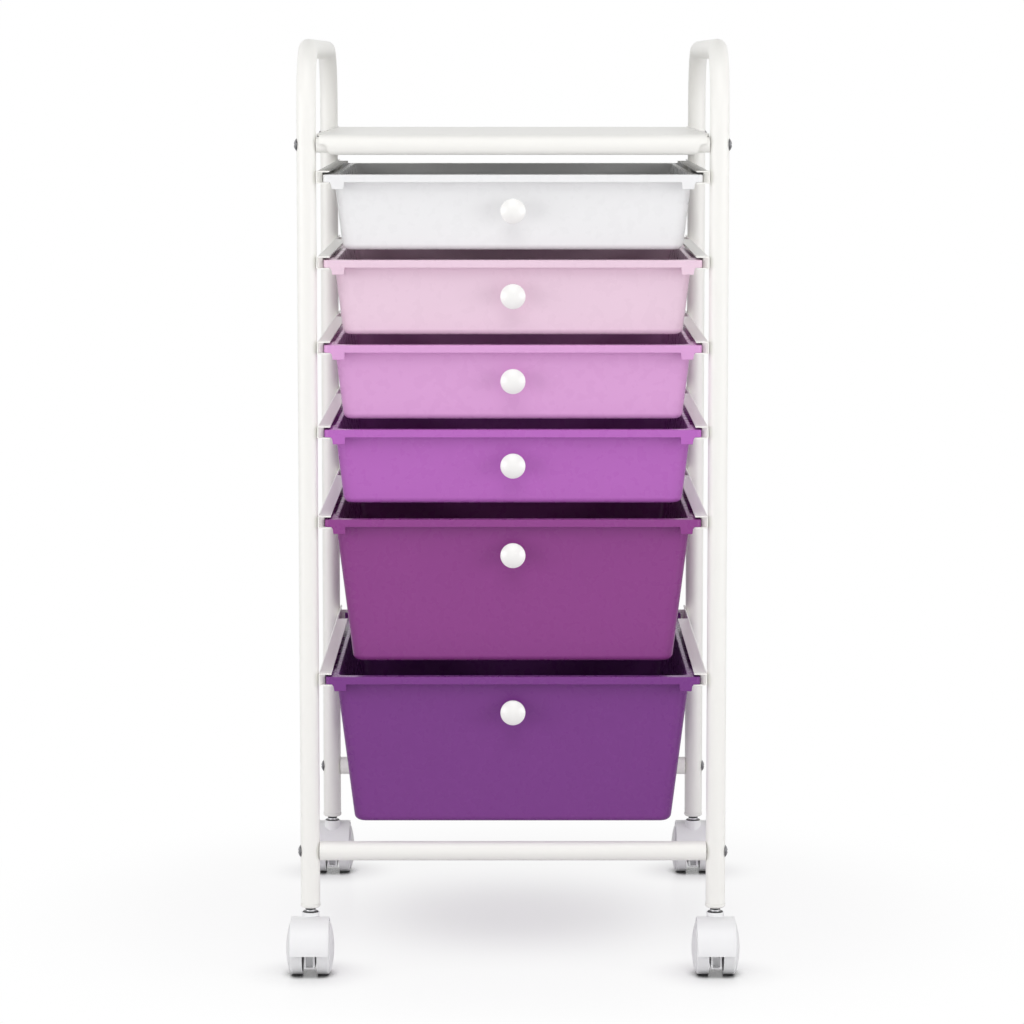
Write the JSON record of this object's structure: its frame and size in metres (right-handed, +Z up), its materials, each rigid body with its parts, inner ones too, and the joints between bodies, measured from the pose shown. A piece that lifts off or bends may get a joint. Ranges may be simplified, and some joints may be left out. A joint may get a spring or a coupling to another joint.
{
  "type": "rolling drawer tower",
  "caption": "Rolling tower of shallow and deep plastic drawers in a bent tube frame with handles, a flat top tray and swivel casters.",
  "frame": {"origin": "on the floor, midway between the four wheel axles, which is the bottom centre of the bounding box", "axes": "+Z up, -Y the drawers' front, +X to the right seen from the front"},
  "size_m": [0.3522, 0.4436, 0.7224],
  "materials": {
    "frame_paint": "warm white powder coat, satin gloss",
    "tray_paint": "warm white powder coat, satin gloss",
    "rail_paint": "warm white powder coat, satin gloss",
    "plug_plastic": "moulded white plastic, smooth",
    "insert_plastic": "moulded white plastic",
    "drawer_white": "moulded polypropylene, smooth satin",
    "drawer_blush": "moulded polypropylene, smooth satin",
    "drawer_orchid": "moulded polypropylene, smooth satin",
    "drawer_violet": "moulded polypropylene, smooth satin",
    "drawer_plum": "moulded polypropylene, smooth satin",
    "drawer_purple": "moulded polypropylene, smooth satin",
    "knob_plastic": "moulded white plastic, glossy",
    "caster_plastic": "moulded white plastic, smooth",
    "wheel_plastic": "moulded white plastic, smooth",
    "screw_steel": "zinc plated steel",
    "stem_steel": "dark plated steel"
  },
  "bodies": {
    "root": {"left_side_frame": "frame_paint", "right_side_frame": "frame_paint", "leg_end_plugs": "plug_plastic", "top_tray": "tray_paint", "front_bottom_bar": "frame_paint", "back_bottom_bar": "frame_paint", "threaded_inserts": "insert_plastic", "frame_screws": "screw_steel", "left_rail_1": "rail_paint", "left_rail_2": "rail_paint", "left_rail_3": "rail_paint", "left_rail_4": "rail_paint", "left_rail_5": "rail_paint", "left_rail_6": "rail_paint", "right_rail_1": "rail_paint", "right_rail_2": "rail_paint", "right_rail_3": "rail_paint", "right_rail_4": "rail_paint", "right_rail_5": "rail_paint", "right_rail_6": "rail_paint", "rail_rivets": "screw_steel", "front_left_stem": "stem_steel", "front_right_stem": "stem_steel", "back_left_stem": "stem_steel", "back_right_stem": "stem_steel"},
    "drawer_1_unit": {"drawer_1": "drawer_white", "knob_1": "knob_plastic", "knob_screw_1": "screw_steel"},
    "drawer_2_unit": {"drawer_2": "drawer_blush", "knob_2": "knob_plastic", "knob_screw_2": "screw_steel"},
    "drawer_3_unit": {"drawer_3": "drawer_orchid", "knob_3": "knob_plastic", "knob_screw_3": "screw_steel"},
    "drawer_4_unit": {"drawer_4": "drawer_violet", "knob_4": "knob_plastic", "knob_screw_4": "screw_steel"},
    "drawer_5_unit": {"drawer_5": "drawer_plum", "knob_5": "knob_plastic", "knob_screw_5": "screw_steel"},
    "drawer_6_unit": {"drawer_6": "drawer_purple", "knob_6": "knob_plastic", "knob_screw_6": "screw_steel"},
    "front_left_caster": {"front_left_hood": "caster_plastic", "front_left_axle": "screw_steel"},
    "front_left_wheel_a_unit": {"front_left_wheel_a": "wheel_plastic"},
    "front_left_wheel_b_unit": {"front_left_wheel_b": "wheel_plastic"},
    "front_right_caster": {"front_right_hood": "caster_plastic", "front_right_axle": "screw_steel"},
    "front_right_wheel_a_unit": {"front_right_wheel_a": "wheel_plastic"},
    "front_right_wheel_b_unit": {"front_right_wheel_b": "wheel_plastic"},
    "back_left_caster": {"back_left_hood": "caster_plastic", "back_left_axle": "screw_steel"},
    "back_left_wheel_a_unit": {"back_left_wheel_a": "wheel_plastic"},
    "back_left_wheel_b_unit": {"back_left_wheel_b": "wheel_plastic"},
    "back_right_caster": {"back_right_hood": "caster_plastic", "back_right_axle": "screw_steel"},
    "back_right_wheel_a_unit": {"back_right_wheel_a": "wheel_plastic"},
    "back_right_wheel_b_unit": {"back_right_wheel_b": "wheel_plastic"}
  },
  "joints": [
    {"name": "drawer_1_slide", "type": "slide", "parent": "root", "child": "drawer_1_unit", "axis": [0, -1, 0], "range_m": [0, 0.28]},
    {"name": "drawer_2_slide", "type": "slide", "parent": "root", "child": "drawer_2_unit", "axis": [0, -1, 0], "range_m": [0, 0.28]},
    {"name": "drawer_3_slide", "type": "slide", "parent": "root", "child": "drawer_3_unit", "axis": [0, -1, 0], "range_m": [0, 0.28]},
    {"name": "drawer_4_slide", "type": "slide", "parent": "root", "child": "drawer_4_unit", "axis": [0, -1, 0], "range_m": [0, 0.28]},
    {"name": "drawer_5_slide", "type": "slide", "parent": "root", "child": "drawer_5_unit", "axis": [0, -1, 0], "range_m": [0, 0.28]},
    {"name": "drawer_6_slide", "type": "slide", "parent": "root", "child": "drawer_6_unit", "axis": [0, -1, 0], "range_m": [0, 0.28]},
    {"name": "front_left_swivel", "type": "hinge", "parent": "root", "child": "front_left_caster", "pos_m": [-0.1575, -0.189, 0.0472], "axis": [0, 0, 1], "continuous": true},
    {"name": "front_left_wheel_a_spin", "type": "hinge", "parent": "front_left_caster", "child": "front_left_wheel_a_unit", "pos_m": [-0.1575, -0.198, 0.021], "axis": [1, 0, 0], "continuous": true},
    {"name": "front_left_wheel_b_spin", "type": "hinge", "parent": "front_left_caster", "child": "front_left_wheel_b_unit", "pos_m": [-0.1575, -0.198, 0.021], "axis": [1, 0, 0], "continuous": true},
    {"name": "front_right_swivel", "type": "hinge", "parent": "root", "child": "front_right_caster", "pos_m": [0.1575, -0.189, 0.0472], "axis": [0, 0, 1], "continuous": true},
    {"name": "front_right_wheel_a_spin", "type": "hinge", "parent": "front_right_caster", "child": "front_right_wheel_a_unit", "pos_m": [0.1575, -0.198, 0.021], "axis": [1, 0, 0], "continuous": true},
    {"name": "front_right_wheel_b_spin", "type": "hinge", "parent": "front_right_caster", "child": "front_right_wheel_b_unit", "pos_m": [0.1575, -0.198, 0.021], "axis": [1, 0, 0], "continuous": true},
    {"name": "back_left_swivel", "type": "hinge", "parent": "root", "child": "back_left_caster", "pos_m": [-0.1575, 0.189, 0.0472], "axis": [0, 0, 1], "continuous": true},
    {"name": "back_left_wheel_a_spin", "type": "hinge", "parent": "back_left_caster", "child": "back_left_wheel_a_unit", "pos_m": [-0.1575, 0.198, 0.021], "axis": [1, 0, 0], "continuous": true},
    {"name": "back_left_wheel_b_spin", "type": "hinge", "parent": "back_left_caster", "child": "back_left_wheel_b_unit", "pos_m": [-0.1575, 0.198, 0.021], "axis": [1, 0, 0], "continuous": true},
    {"name": "back_right_swivel", "type": "hinge", "parent": "root", "child": "back_right_caster", "pos_m": [0.1575, 0.189, 0.0472], "axis": [0, 0, 1], "continuous": true},
    {"name": "back_right_wheel_a_spin", "type": "hinge", "parent": "back_right_caster", "child": "back_right_wheel_a_unit", "pos_m": [0.1575, 0.198, 0.021], "axis": [1, 0, 0], "continuous": true},
    {"name": "back_right_wheel_b_spin", "type": "hinge", "parent": "back_right_caster", "child": "back_right_wheel_b_unit", "pos_m": [0.1575, 0.198, 0.021], "axis": [1, 0, 0], "continuous": true}
  ]
}
